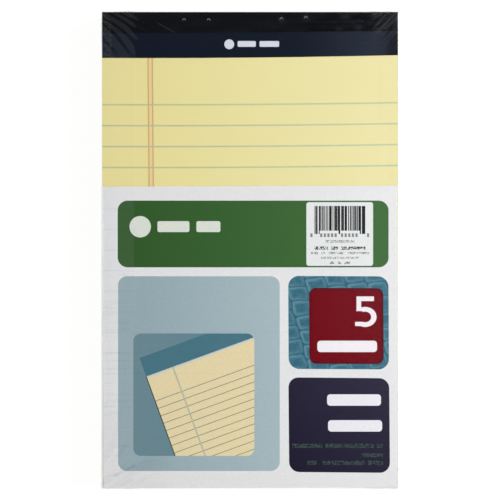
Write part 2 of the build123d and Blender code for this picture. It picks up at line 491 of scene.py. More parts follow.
def ruled_paper():
    """Canary paper with its rules, its leaning double margin line, and thin layers on its cut edges, made
    paler to the right by painted light.
    """
    material, r, shader, place = new_material("canary_ruled_paper")
    x, y, _ = r.parts(place)
    rule = r.group(ruled_lines, Place=place, First=first_rule, Pitch=rule_pitch)[0]
    rule = r.times(rule, r.remap(r.noise(place, 0.9), *rule_fade))
    column = r.plus(x, r.times(r.minus(y, margin_height), margin_lean))
    blush = r.step(r.apart(column, sum(margin_places) / 2), *blush_run)
    grain = r.group(paper_grain, Place=place, Grain=2.6, Cloud=0.05, Contrast=0.07, Relief=0.12)
    edge = r.attribute("edge")
    kept = r.remap(edge, 0.0, 1.0, 1.0, edge_ink_share)
    # Painted light: paler paper and rules towards the right
    lit_right = r.step(x, *paper_painted_light_run)
    colour = r.paint(lit_right, ink(226, 215, 148.5), ink(225, 217, 162))
    colour = r.paint(r.times(blush, blush_weight), colour, ink(226, 189, 145))
    colour = r.paint(r.times(margin_lines(r, column), kept), colour, ink(201, 164, 111))
    rule_colour = r.paint(lit_right, ink(172, 184, 145), ink(174, 192, 161))
    colour = r.paint(r.times(rule, kept), colour, rule_colour)
    tone = r.times(grain["Tone"], edge_layers(r, place, edge))
    dress(r, shader, shaded(r, colour, tone), 0.72, 0.25, grain["Normal"])
    return material


def grey_chipboard():
    """Recycled board: speckled grey-brown fibres in thin plies."""
    material, r, shader, place = new_material("grey_chipboard")
    grain = r.group(paper_grain, Place=place, Grain=3.5, Cloud=0.2, Contrast=0.22, Relief=0.4)
    fleck = r.step(r.streaks(place, fleck_stretch, 4.0, 0.7), 0.42, 0.66)
    colour = r.paint(fleck, ink(120, 112, 98), ink(158, 149, 132))
    dress(r, shader, shaded(r, colour, grain["Tone"]), 0.85, 0.2, grain["Normal"])
    return material


# Header strip, with a plain mark in the middle, and tape
strip_disc = (-10.9, -6.7, 86.2, 90.4)
strip_bars = ((-5.2, 2.6, 87.2, 89.7), (4.2, 12.6, 87.2, 89.7))
strip_bar_corner = 0.5
# Painted sheen on the strip: paler to the right, then darker again at its right end
strip_sheen_run = (16.0, 62.0)
strip_sheen_end_run = (54.0, 62.0)
tape_darker_run = (0.0, 30.0)
scuff_range, scuff_weight = (0.42, 0.72), 0.5
under_film_shine = 0.05


def navy_strip():
    """Dark blue printed paper with a white disc and two bars, paler to the right by a painted sheen that
    fades at its right end. The film dulls it.
    """
    material, r, shader, place = new_material("navy_header_paper")
    grain = r.group(paper_grain, Place=place, Grain=4.0, Cloud=0.12, Contrast=0.12, Relief=0.15)
    x, _, _ = r.parts(place)
    # Painted sheen: the ground turns paler to the right and darker again at its right end
    ground = r.paint(r.step(x, *strip_sheen_run), ink(24, 30, 41), ink(40, 46, 58))
    ground = r.paint(r.step(x, *strip_sheen_end_run), ground, ink(30, 33, 39))
    mark = disc_and_bars(r, flat_place(r, place), strip_disc, strip_bars, strip_bar_corner)
    colour = r.paint(mark, ground, ink(205, 208, 220))
    dress(r, shader, shaded(r, colour, grain["Tone"]), 0.5, under_film_shine, grain["Normal"])
    return material


def black_tape():
    """Crepe binding tape: fine crosswise wrinkles and faint scuffs on a near-black ground."""
    material, r, shader, place = new_material("black_binding_tape")
    crepe = r.streaks(place, crepe_stretch, 3.0, 0.6)
    grain = r.group(paper_grain, Place=place, Grain=5.0, Cloud=0.3, Contrast=0.2, Relief=0.2)
    x, _, _ = r.parts(place)
    ground = r.paint(r.step(x, *tape_darker_run), ink(20, 21.2, 24.2), ink(16, 17.5, 20.5))
    scuff = r.step(r.streaks(place, scuff_stretch, 3.0), *scuff_range)
    ground = r.paint(r.times(scuff, scuff_weight), ground, ink(26, 28, 32))
    normal = r.bump(crepe, 0.35, 0.1 * mm, grain["Normal"])
    colour = shaded(r, ground, grain["Tone"])
    dress(r, shader, colour, r.remap(crepe, *crepe_roughness), under_film_shine, normal)
    return material


def staple_steel():
    """Drawn flat wire: bright steel, brushed along its length."""
    material, r, shader, place = new_material("staple_steel")
    drawn = r.streaks(place, drawn_stretch)
    colour = r.paint(drawn, (0.55, 0.55, 0.55, 1.0), (0.7, 0.7, 0.71, 1.0))
    r.fill(shader, Base_Color=colour, Metallic=1.0, Roughness=r.remap(drawn, *wire_roughness))
    return material


# Print on the card, in millimetres: left, right, bottom and top edges, then the corner radius
green_band = ((-56.67, 59.56, -7.42, 21.21), 4.3)
white_label = ((24.3, 52.91, -6.78, 20.54), 1.1)
pale_panel = ((-56.5, 12.86, -94.8, -11.25), 3.9)
picture_panel = ((-49.98, 1.96, -88.32, -35.79), 3.3)
scaled_square = ((16.59, 59.62, -51.11, -11.2), 4.6)
red_square = ((25.52, 57.37, -48.83, -16.3), 3.0)
red_core, red_core_softness = ((25.94, 56.75, -48.35, -16.78), 2.6), 0.9
navy_square = ((16.75, 60.0, -95.41, -54.81), 4.4)
square_skew, navy_skew = 0.005, 0.0085

# The top sheet's rules show faintly through the card
through_first, through_pitch = 17.7, 8.825
through_tint = (0.87, 0.945, 0.985, 1.0)
through_run, through_least = (-60.0, -46.0), 0.25
through_foot = (-90.0, -50.0)

# Where painted sheen turns the fields' colours paler to the right (the navy square's towards its upper
# right), and where the picture's turns darker
panel_sheen_run = (-45.0, 13.0)
green_sheen_run = (-48.0, 50.0)
navy_sheen_run = (-78.0, 5.0)
picture_darker_run = (-50.0, 2.0)

# Plain marks on the band and the squares
band_disc = (-51.6, -42.4, 5.4, 14.6)
band_bars = ((-39.6, -25.9, 7.7, 12.4), (-22.9, -12.6, 7.7, 12.4))
band_bar_corner = 0.8
wide_bar_corner = 1.4
red_bar = (29.0, 54.6, -43.8, -38.9)
navy_bars = ((33.2, 56.3, -66.8, -61.9), (33.6, 56.8, -77.9, -73.0))
navy_lines = (
    ((18.0, 57.2, -84.9, -83.1), 0.5),
    ((48.0, 57.2, -88.9, -87.2), 0.5),
    ((22.4, 57.2, -92.2, -90.4), 0.5),
)
navy_line_corner, navy_line_seed = 0.2, 26.0

# The label's upright bars, its rows of plain blocks, and its lines with their weights
label_corner, label_seed = 0.1, 7.0
bar_block, bar_block_corner = (27.7, 49.55, 8.3, 18.9), 0.02
bar_tails, tail_foot = ((27.7, 30.0), (38.1, 39.2), (47.2, 49.55)), 6.9
bar_pitch, bar_seed, bar_share_range = 0.74, 9.0, (0.35, 1.12)
block_rows = ((30.2, 37.8), (39.15, 46.9), (26.0, 27.2), (50.3, 51.5))
block_height = (5.55, 7.15)
block_pitch, block_share, block_weight = 1.55, 0.6, 0.72
label_lines = (
    ((32.5, 44.9, 3.1, 4.3), 0.6),
    ((27.8, 49.6, 0.1, 1.5), 1.0),
    ((26.3, 51.1, -1.8, -0.8), 0.6),
    ((30.6, 46.8, -3.8, -2.9), 0.55),
    ((34.4, 43.0, -6.0, -5.0), 0.95),
)

# The pictured page: turned, with places measured along and across its rules, and the two ends of soft edges
page_turn = math.radians(20)
page_left, page_left_edge = -60.3, (0.3, 0.1)
page_band, page_band_edge = (-35.9, -27.35), 0.05
page_torn_pitch, page_torn_share, page_torn_edge = 0.5, 0.5, 0.08
page_tear_run = (-0.75, -0.7)
page_first_rule, page_rule_pitch, page_rule_edge = -47.05, 3.386, (0.2, 0.1)
page_margin, page_margin_edge = -48.15, (0.42, 0.28)

# The scaled pattern: width and height of a block, its groove and corner, and how the columns and rows run
scale_size = (8.7, 6.4)
scale_start = 12.6
scale_groove = 0.2
scale_corner = 1.3
scale_lean = 0.28
scale_tilt = 0.12
scale_bend, scale_bend_fineness = 2.6, 0.14
scale_ridge, scale_hollow = (-0.1, 0.5), (1.9, 0.6)
scale_side = (-5.0, 5.0, 0.3, 1.0)

# The numeral, from plain strokes
numeral_bar = (45.8, 53.3, -21.9, -19.9)
numeral_stem = (45.8, 47.8, -26.2, -19.9)
numeral_tail = (45.2, 48.6, -32.6, -30.8)
numeral_stroke_corner = 0.15
numeral_bowl, numeral_bowl_size = (49.5, -28.7), (4.9, 4.3)
numeral_stroke_share, numeral_softness = 0.47, 0.02
numeral_mouth = (48.3, -31.3, -26.2)


def skewed(r, place, edges, amount):
    """The place, pushed along each direction by a share of how far it is off the middle along the other."""
    left, right, bottom, top = edges
    x, y, _ = r.parts(r.aim("SUBTRACT", place, ((left + right) / 2, (bottom + top) / 2, 0.0)))
    return r.aim("ADD", place, r.join(r.times(y, amount), r.times(x, amount)))


def label_ink(r, place):
    """The label's print: bars of chance width, plain blocks, and lines too small to read."""
    x = r.parts(place)[0]
    tails = [(left, right, tail_foot, bar_block[3]) for left, right in bar_tails]
    inked = fields(r, place, (bar_block, *tails), bar_block_corner)
    chance = r.chance("2D", r.join(r.cells(x, bar_pitch), bar_seed))
    bar_width = r.remap(chance, 0.0, 1.0, *bar_share_range)
    marks = r.times(inked, r.calc("LESS_THAN", r.turn(x, bar_pitch, 0.0), bar_width))
    for left, right in block_rows:
        row = field(r, place, (left, right) + block_height, label_corner)
        block = r.calc("LESS_THAN", r.turn(r.minus(x, left), block_pitch, 0.0), block_share)
        marks = r.most(marks, r.times(r.times(row, block), block_weight))
    lines = unread_lines(r, place, label_lines, label_corner, label_seed, Run=1.4, Mark=0.36, Gap=0.12)
    return r.most(marks, lines)


def page_rules(r, rise):
    """Mask of the pictured page's rules, from the place across them."""
    level = r.minus(rise, page_first_rule)
    off_rule = r.calc("ABSOLUTE", r.times(r.turn(level, page_rule_pitch, -0.5), page_rule_pitch))
    return r.times(r.step(off_rule, *page_rule_edge), r.calc("LESS_THAN", level, page_rule_pitch / 2))


def pictured_page(r, place, ground):
    """The picture's print: a turned page of cream paper with a band, a torn edge, rules and a margin line."""
    x, y, _ = r.parts(place)
    cosine, sine = math.cos(page_turn), math.sin(page_turn)
    run = r.plus(r.times(x, cosine), r.times(y, sine))
    rise = r.minus(r.times(y, cosine), r.times(x, sine))
    on_page = r.calc("GREATER_THAN", run, page_left)
    band_foot, band_head = page_band
    band = r.times(r.step(rise, band_head + page_band_edge, band_head - page_band_edge), on_page)
    torn = r.times(r.calc("PINGPONG", run, page_torn_pitch), page_torn_share)
    ragged = r.plus(band_foot, torn)
    paper = r.times(r.step(rise, ragged, r.minus(ragged, page_torn_edge)), on_page)
    band_ink = r.paint(r.noise(place, 0.05, 1.0), ink(78, 117, 131), ink(68, 112, 126))
    tear = r.step(r.minus(rise, band_foot), *page_tear_run)
    page = r.paint(tear, ink(222, 207, 166), ink(196, 202, 198))
    page = r.paint(page_rules(r, rise), page, ink(117, 133, 122))
    margin = r.step(r.apart(run, page_margin), *page_margin_edge)
    page = r.paint(margin, page, ink(181, 181, 160))
    colour = r.paint(paper, r.paint(band, ground, band_ink), page)
    side = r.step(r.apart(run, page_left), *page_left_edge)
    side = r.times(side, r.calc("LESS_THAN", rise, band_foot))
    return r.paint(side, colour, ink(52, 62, 58))


def numeral(r, place):
    """Mask of the plain numeral: a bar, a stem, a ring below with its mouth open on the left, and a tail."""
    x, y, _ = r.parts(place)
    across, rise = (
        r.calc("DIVIDE", r.minus(value, middle), half)
        for value, middle, half in zip((x, y), numeral_bowl, numeral_bowl_size)
    )
    away = r.length(r.join(across, rise))
    inner, soft = 1 - numeral_stroke_share, numeral_softness
    ring = r.times(r.step(away, 1 + soft, 1 - soft), r.step(away, inner - soft, inner + soft))
    mouth_right, mouth_bottom, mouth_top = numeral_mouth
    inside = r.times(r.calc("LESS_THAN", x, mouth_right), r.calc("LESS_THAN", y, mouth_top))
    mouth = r.times(inside, r.calc("GREATER_THAN", y, mouth_bottom))
    ring = r.times(ring, r.minus(1.0, mouth))
    strokes = (numeral_bar, numeral_stem, numeral_tail)
    return r.most(ring, fields(r, place, strokes, numeral_stroke_corner))


def scaled_pattern(r, place):
    """Teal embossed scales: leaning columns of rounded blocks, each with a pale ridge inside its dark groove.

    The place is bent by slow noise. Its column and row are whole numbers of blocks, each column is shifted
    by its own chance, and the depth inside the block's rounded outline sets the groove, ridge and hollow.
    """
    x, y, _ = r.parts(place)
    width, height = scale_size
    bend = r.add("ShaderNodeTexNoise", (place,))
    r.put(bend.inputs["Scale"], scale_bend_fineness)
    bend_x, bend_y, _ = r.parts(bend.outputs["Color"])
    column = r.plus(r.calc("MULTIPLY_ADD", y, scale_lean, x), r.times(bend_x, scale_bend))
    column = r.calc("DIVIDE", r.minus(column, scale_start), width)
    shift = r.chance("1D", None, r.calc("FLOOR", column))
    row = r.plus(r.calc("MULTIPLY_ADD", x, -scale_tilt, y), r.times(bend_y, scale_bend))
    row = r.plus(r.calc("DIVIDE", row, height), shift)
    across = r.times(r.minus(r.calc("FRACT", column), 0.5), width)
    up = r.times(r.minus(r.calc("FRACT", row), 0.5), height)
    half = (width / 2 - scale_groove / 2, height / 2 - scale_groove / 2, 0.0)
    sizes = {"Centre": (0.0, 0.0, 0.0), "Half_size": half, "Corner": scale_corner}
    depth = r.group(rounded_field, Place=r.join(across, up), **sizes)["Depth"]
    ridge = r.times(r.step(depth, *scale_ridge), r.step(depth, *scale_hollow))
    side = r.remap(r.minus(up, across), *scale_side)
    grain = r.calc("MULTIPLY_ADD", r.noise(place, 0.3), 0.5, r.streaks(place, scale_grain_stretch, 3.0))
    base = r.paint(r.step(grain, 0.6, 0.95), ink(50, 97, 117), ink(69, 115, 132))
    base = r.paint(r.times(ridge, side), base, ink(93, 136, 150))
    return r.paint(r.step(depth, 0.2, -0.2), base, ink(50, 94, 113))


def card_layers(r, place):
    """The card's print from the ground up, each layer as its mask and its colour; the panel, green band and
    navy square carry a painted sheen to the right.
    """
    flat = flat_place(r, place)
    x, y, _ = r.parts(place)
    # Painted sheen: the pale panel, green band and navy square turn paler towards the right
    panel = r.paint(r.remap(x, *panel_sheen_run), ink(147.5, 167.5, 174.5), ink(161, 180, 186))
    picture = r.paint(r.step(x, *picture_darker_run), ink(106, 135, 144), ink(92, 127, 139))
    green = r.paint(r.remap(x, *green_sheen_run), ink(52, 89, 45.5), ink(64, 103.5, 57))
    navy = r.paint(r.remap(r.plus(x, y), *navy_sheen_run), ink(33, 31, 48), ink(47, 45, 63))
    upper = skewed(r, flat, scaled_square[0], square_skew)
    lower = skewed(r, flat, navy_square[0], navy_skew)
    red = r.paint(field(r, upper, *red_core, red_core_softness), ink(76, 18, 31), ink(110, 13, 25))
    red_mark = r.most(numeral(r, flat), field(r, flat, red_bar, wide_bar_corner))
    sizes = {"Run": 1.3, "Mark": 0.42, "Gap": 0.14}
    faint_lines = unread_lines(r, flat, navy_lines, navy_line_corner, navy_line_seed, **sizes)
    return (
        (field(r, flat, *pale_panel), panel),
        (field(r, flat, *picture_panel), pictured_page(r, flat, picture)),
        (field(r, flat, *green_band), green),
        (disc_and_bars(r, flat, band_disc, band_bars, band_bar_corner), ink(212, 217, 208)),
        (field(r, flat, *white_label), ink(220, 222, 222)),
        (label_ink(r, flat), ink(36, 36, 38)),
        (field(r, upper, *scaled_square), scaled_pattern(r, flat)),
        (field(r, upper, *red_square), red),
        (red_mark, ink(232, 228, 232)),
        (field(r, lower, *navy_square), navy),
        (fields(r, flat, navy_bars, wide_bar_corner), ink(226, 224, 230)),
        (faint_lines, ink(78, 100, 88)),
    )


def printed_board():
    """White coated card under its layers of print, with the top sheet's rules showing faintly through it."""
    material, r, shader, place = new_material("printed_card_board")
    x, y, _ = r.parts(place)
    grain = r.group(paper_grain, Place=place, Grain=4.5, Cloud=0.06, Contrast=0.025, Relief=0.05)
    colour = ink(221, 221, 222)
    for mask, layer in card_layers(r, place):
        colour = r.paint(mask, colour, layer)
    through = r.group(ruled_lines, Place=place, First=through_first, Pitch=through_pitch)[0]
    kept = r.times(r.remap(x, *through_run, 1.0, through_least), r.step(y, *through_foot))
    colour = r.paint(r.times(through, kept), colour, through_tint, "MULTIPLY")
    tone = r.times(grain["Tone"], r.remap(r.noise(place, 1.9, 1.0), *mottle_tones))
    dress(r, shader, shaded(r, colour, tone), 0.5, under_film_shine, grain["Normal"])
    return material


# The film's thin painted highlights along its creases, in millimetres: two ends, width and strength
film_glint_streaks = (
    ((-39.4, 97.4), (-32.4, 93.4), 0.3, 0.02),
    ((-51.0, 98.0), (-44.5, 94.0), 0.3, 0.007),
    ((55.4, 51.2), (62.8, 46.4), 0.2, 0.03),
    ((55.6, 43.6), (61.6, 40.6), 0.2, 0.03),
    ((56.2, 34.6), (62.2, 31.4), 0.2, 0.03),
    ((55.8, 30.4), (62.6, 25.8), 0.2, 0.03),
)

# Its soft darker folds, in the same form, and its wrinkles over the left edge
film_folds = (
    ((-62.6, -97.9), (-57.6, -95.9), 1.1, 0.1),
    ((-57.6, -96.8), (-49.7, -92.5), 1.1, 0.26),
    ((-62.8, -100.2), (-58.5, -98.4), 0.9, 0.08),
    ((-55.6, -101.3), (-50.3, -98.4), 0.9, 0.08),
    ((-48.1, -101.3), (-45.3, -98.4), 0.8, 0.06),
    ((56.3, 81.0), (56.3, 56.0), 1.3, 0.05),
)
wrinkle_range, wrinkle_gloss = (0.52, 0.7), 0.18
wrinkle_run, wrinkle_head, wrinkle_foot = (-49.6, -52.5), (2.0, -14.0), (-94.0, -86.0)

# Middles of the painted glints on the film's bumps over the staples' bends, and soft pale painted
# reflections: centre, half width and height, strength
staple_glints = ((-28.2, 98.6), (-17.6, 98.6), (13.6, 99.0), (24.1, 99.6))
glint_radius, glint_edge, glint_strength = 0.62, (0.32, 0.05), 0.12
glint_crescent = (-0.5, 0.4)
film_reflection_patches = (
    ((13.6, 98.9), (3.0, 2.4), 0.008),
    ((24.1, 99.4), (2.8, 2.4), 0.007),
    ((41.0, 100.0), (3.8, 1.9), 0.012),
    ((46.6, 95.3), (2.4, 1.8), 0.011),
    ((38.2, 94.8), (2.8, 1.4), 0.009),
)

# The bare film's mirror share, what a crease adds to it, and how deep below the front its marks reach
film_body, film_gloss = 0.03, 0.4
front_depth = 0.6


def along_streaks(r, flat, streaks):
    """The strengths of these streaks, added up."""
    total = 0.0
    for start, end, width, strength in streaks:
        streak = r.group(film_streak, Place=flat, From=start + (0.0,), To=end + (0.0,), Width=width)[0]
        total = r.calc("MULTIPLY_ADD", streak, strength, total)
    return total


def film_gloss_marks(r, flat):
    """How much glossier the front's film is along its folds, and at the short wrinkles over its left edge."""
    x, y, _ = r.parts(flat)
    wrinkle = r.step(r.streaks(flat, wrinkle_stretch, 3.0, 0.65), *wrinkle_range)
    for value, run in ((x, wrinkle_run), (y, wrinkle_head), (y, wrinkle_foot)):
        wrinkle = r.times(wrinkle, r.step(value, *run))
    return r.calc("MULTIPLY_ADD", wrinkle, wrinkle_gloss, along_streaks(r, flat, film_folds))


def film_painted_highlights(r, flat):
    """How much the front's film whitens as painted highlights along its thin streaks and round its staple
    bumps, and as painted reflections at its soft pale patches.

    A staple glint is the upper part of a thin ring, and a patch fades from its centre to nothing at its edge.
    """
    # Painted highlights along the film's thin creases
    veil = along_streaks(r, flat, film_glint_streaks)
    x, y, _ = r.parts(flat)
    # Painted glints round the staples' bends
    for centre_x, centre_y in staple_glints:
        rise = r.minus(y, centre_y)
        away = r.length(r.join(r.minus(x, centre_x), rise))
        ring = r.times(r.step(r.apart(away, glint_radius), *glint_edge), r.step(rise, *glint_crescent))
        veil = r.calc("MULTIPLY_ADD", ring, glint_strength, veil)
    # Painted reflections: soft pale patches on the film
    for centre, (half_width, half_height), strength in film_reflection_patches:
        away = r.aim("SUBTRACT", flat, centre + (0.0,))
        away = r.length(r.aim("MULTIPLY", away, (1 / half_width, 1 / half_height, 0.0)))
        veil = r.calc("MULTIPLY_ADD", r.step(away, 1.0, 0.0), strength, veil)
    return veil


def clear_film():
    """Thin clear film: a mirror that is nearly see-through, denser at its creases and white at its marks. On
    the front, the white marks are painted highlights, reflections and light, and extra density near the left
    edge and foot is painted shade.

    Its opacity is the mirror's share plus the whitening, and it is metallic by the mirror's share of that.
    """
    material, r, shader, place = new_material("clear_shrink_film")
    on_front = r.calc("GREATER_THAN", r.parts(place)[2], film_front - front_depth)
    flat = flat_place(r, place)
    # The veil holds the seam's whitening and, on the front, painted highlights, reflections and light
    veil = r.calc("MULTIPLY_ADD", film_painted_highlights(r, flat), on_front, r.attribute("veil"))
    # The crease gloss also holds painted shade near the front's left edge and foot
    crease = r.calc("MULTIPLY_ADD", film_gloss_marks(r, flat), on_front, r.attribute("crease"))
    mirror = r.calc("MULTIPLY_ADD", crease, film_gloss, film_body)
    alpha = r.plus(mirror, veil)
    ripple = r.streaks(place, ripple_stretch, 1.0, 0.6)
    tint = r.paint(ripple, (0.88, 0.92, 0.98, 1.0), (0.93, 0.96, 1.0, 1.0))
    r.fill(shader, Base_Color=tint, Metallic=r.calc("DIVIDE", mirror, alpha), Alpha=alpha)
    r.fill(shader, Roughness=r.remap(veil, *film_roughness), Normal=r.bump(ripple, 0.1, 0.2 * mm))
    return material


# Pieces


def placed(name, data):
    """A new object of the scene with this mesh, lamp or camera."""
    thing = bpy.data.objects.new(name, data)
    bpy.context.scene.collection.objects.link(thing)
    return thing


def new_piece(name, points, faces, material, slot, replaced, smooth=False):
    """A finished mesh that stands for one node and rides on the pack."""
    mesh = bpy.data.meshes.new(name)
    mesh.from_pydata(points.tolist(), [], faces.tolist())
    mesh.polygons.foreach_set("use_smooth", np.full(len(faces), smooth))
    mesh.materials.append(material)
    mesh.update()
    piece = placed(name, mesh)
    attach(piece, "root")
    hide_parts(replaced)
    return piece


def keep_numbers(piece, name, domain, values):
    """Keep one number for each point or face of the piece, for its material to read."""
    attribute = piece.data.attributes.new(name, "FLOAT", domain)
    attribute.data.foreach_set("value", values.astype(np.float32))


def smooth_step(value, low, high):
    """0 below low, 1 above high, and smooth between."""
    share = np.clip((value - low) / (high - low), 0, 1)
    return share * share * (3 - 2 * share)


def sheet_shifts(number):
    """How far each sheet strays, across and along: a slow drift plus a small jitter. The top one stays."""
    chance = np.random.default_rng(sheet_seed + number)
    steps = chance.normal(0, 1, (sheet_count, 2)).cumsum(axis=0)
    wander = steps - steps.mean(axis=0)
    drift = wander / np.abs(wander).max(axis=0) * sheet_drift
    shift = drift + chance.uniform(-1, 1, (sheet_count, 2)) * sheet_jitter
    shift[-1] = 0
    return np.repeat(shift, 2, axis=0)


def block_faces(rows, columns):
    """Walls between rows of points that run up one long side and down the other, and the two caps."""
    round_count = 2 * columns
    index = np.arange(rows * round_count).reshape(rows, round_count)
    after = np.roll(index, -1, axis=1)
    walls = np.stack([index[:-1], index[1:], after[1:], after[:-1]], axis=-1).reshape(-1, 4)
    near = np.arange(columns - 1)
    far = round_count - 1 - near
    cap = np.stack([near, near + 1, far - 1, far], axis=-1)
    return walls, np.concatenate([cap, (rows - 1) * round_count + cap[:, ::-1]])


def sheet_block(number, material):
    """A block of sheets. Round the outline, each sheet is one low wall, set in by its own chance.

    Two rows of points carry each sheet, at its underside and just under the next sheet. A point's height is
    its share of the block's thickness there, which falls over the pinched stub. How far a sheet strays
    grows from nothing at the glued head to its full size at the foot.
    """
    node = f"pad_{number}_sheets"
    low, high = (np.array(corner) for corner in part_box(node))
    slope_end = high[1] - pinch_flat
    slope_start = slope_end - pinch_run
    long_run = np.linspace(low[1] + trim_inset, slope_start, long_steps)
    slope_run = np.linspace(slope_start, slope_end, slope_steps)[1:]
    along = np.concatenate([long_run, slope_run, [high[1]]])
    thickness = (high[2] - low[2]) - pinch_depth * np.clip((along - slope_start) / pinch_run, 0, 1)
    share = (np.arange(sheet_count)[:, None] + np.array([0, sheet_fill_share])).ravel() / sheet_count
    share[-1] = 1
    shift = sheet_shifts(number)
    freedom = np.clip((high[1] - along) / (high[1] - low[1]), 0, 1) ** freedom_power
    left = np.empty((len(share), len(along), 3))
    left[:, :, 0] = low[0] + np.abs(shift[:, :1]) * freedom
    left[:, :, 1] = np.maximum(along + shift[:, 1:] * freedom * (along < slope_start), low[1])
    left[:, :, 2] = low[2] + share[:, None] * thickness
    right = left.copy()
    right[:, :, 0] = high[0] - np.abs(np.roll(shift[:, :1], side_offset)) * freedom
    points = np.concatenate([left, right[:, ::-1]], axis=1).reshape(-1, 3)
    walls, caps = block_faces(len(share), len(along))
    faces = np.concatenate([walls, caps])
    piece = new_piece(f"pad_{number}_ruled_sheets", points, faces, material, "canary_paper", node)
    keep_numbers(piece, "edge", "FACE", np.arange(len(faces)) < len(walls))


def edge_steps(low, high, fine_reach, fine_step, wide_step, extra=()):
    """Places along one side of the film: three over each rounded edge, close near the ends, wide between."""
    bend = film_round * np.array([0, 1 - math.tan(math.radians(22.5)), 1])
    fine_count = max(int((fine_reach - film_round) / fine_step), 1)
    start = np.concatenate([bend, np.linspace(film_round, fine_reach, fine_count + 1)[1:]])
    middle_count = max(int(round((high - low - 2 * fine_reach) / wide_step)), 1)
    middle = np.linspace(low + fine_reach, high - fine_reach, middle_count + 1)[1:-1]
    places = np.concatenate([low + start, middle, high - start, extra])
    return np.unique(np.round(places, 7))


def plane_noise(u, v, seed):
    """Smooth noise from 0 to 1: chance values on a square lattice, with smooth steps from one to the next."""
    lattice = np.random.default_rng(seed).uniform(0, 1, (noise_lattice, noise_lattice))
    low_u, low_v = np.floor(u), np.floor(v)
    share_u, share_v = smooth_step(u - low_u, 0, 1), smooth_step(v - low_v, 0, 1)
    near_u, near_v = low_u.astype(int) % noise_lattice, low_v.astype(int) % noise_lattice
    far_u, far_v = (near_u + 1) % noise_lattice, (near_v + 1) % noise_lattice
    near = lattice[near_u, near_v] * (1 - share_v) + lattice[near_u, far_v] * share_v
    far = lattice[far_u, near_v] * (1 - share_v) + lattice[far_u, far_v] * share_v
    return near * (1 - share_u) + far * share_u


def finger_fan(x, y, centre, reach, ragged, fingers, seed):
    """Creases spread from a centre like fingers: noise over the angle, cut off at a ragged distance."""
    away_x, away_y = x - centre[0], y - centre[1]
    turn = np.arctan2(away_y, away_x) * fingers
    radius = np.hypot(away_x, away_y)
    broad = plane_noise(turn, radius / finger_stretch, seed)
    fine = plane_noise(turn * 2, radius / finger_stretch, seed + 1)
    far = reach * (1 - ragged * plane_noise(turn * finger_end_turn, radius * 0, seed + 2))
    strength = smooth_step(broad_share * broad + (1 - broad_share) * fine, *finger_range)
    return strength * smooth_step(far - radius, 0, fan_fade)


def left_edge_reflection(x, y):
    """Painted reflection along the front's left edge, as whitening of the film, split near the head into
    fingers that point away from the corner.

    It ends at a straight line. Near the head that end turns ragged, and dark gaps run through the painted
    reflection. Both follow a wave over the angle round a centre beyond the corner, shifted and roughened by
    noise.
    """
    away_x, away_y = x - reflection_centre[0], y - reflection_centre[1]
    turn = np.arctan2(away_y, away_x) * reflection_fingers
    along = np.hypot(away_x, away_y) / finger_stretch
    shift = plane_noise(turn * reflection_shift_turn, along, reflection_seed)
    rough = plane_noise(turn * reflection_rough_turn, along * reflection_rough_run, reflection_seed + 1)
    wave = 0.5 + 0.5 * np.cos(2 * math.pi * (turn + shift)) + 0.5 * (rough - 0.5)
    near_head = smooth_step(y, *finger_run)
    end = left_reflection_end + near_head * (wave - reflection_wave_middle) * reflection_ragged
    solid = smooth_step(wave, *reflection_gap_range)
    strength = left_reflection * (1 - (1 - head_reflection_share) * smooth_step(y, *head_reflection_run))
    return smooth_step(end - x, 0, left_reflection_fade) * (1 - near_head * (1 - solid)) * strength


def front_relief(x, y):
    """Rise, whitening and gloss of the film over the front: its fans with their painted highlights, a painted
    reflection along the left edge, painted light beside the card, a painted highlight at the right edge, and
    painted shade near the left edge and foot.
    """
    rise, veil, gloss = np.zeros_like(x), np.zeros_like(x), np.zeros_like(x)
    for centre, reach, ragged, fingers, seed, highlight in front_fans:
        fan = finger_fan(x, y, centre, reach, ragged, fingers, seed)
        rise = np.maximum(rise, fan * front_rise)
        gloss = np.maximum(gloss, fan * fan_gloss)
        # Painted highlight along the fans' creases, as whitening of the film
        veil = veil + fan * highlight
    above, below = tape_run
    veil = veil * (tape_share + (1 - tape_share) * smooth_step(-y, -above, -below))
    low_head, high_head = card_edge_head
    beside_card = smooth_step(-y, -high_head, -low_head)
    # Painted light: whitening that lifts the card's shadow on the paper beside its left edge
    veil = veil + left_edge_reflection(x, y) + smooth_step(-x, *card_edge_run) * beside_card * card_edge_fill_light
    # Painted highlight along the film's right edge beside the card
    veil = veil + smooth_step(x, *right_edge_run) * beside_card * right_edge_highlight
    # Painted shade: denser film darkens the front near its left edge
    gloss = np.maximum(gloss, smooth_step(-x, *left_shade_run) * left_shade_gloss)
    # Painted shade: denser film darkens the front near its foot
    gloss = np.maximum(gloss, smooth_step(-y, *foot_shade_run) * foot_shade_gloss)
    return rise, veil, gloss


def side_relief(run, up, half_run, mid_height, seed):
    """Rise of the film over one side: a fan at each end, and a few slanted streaks that run from the seam."""
    rise = np.zeros_like(run)
    centre = (-half_run - side_fan_offset, mid_height)
    for end in (-1, 1):
        rise = np.maximum(rise, finger_fan(-end * run, up, centre, *side_fan, seed + end))
    off_seam = np.abs(up - mid_height)
    above = up > mid_height
    slant = run * streak_slant + off_seam * streak_lean * np.where(above, 1, -1)
    streak = plane_noise(slant, off_seam * streak_drift + streak_jump * above, seed + 5)
    streak = smooth_step(streak, *streak_range) * smooth_step(off_seam, *streak_start)
    return np.maximum(rise, streak * streak_share) * side_rise


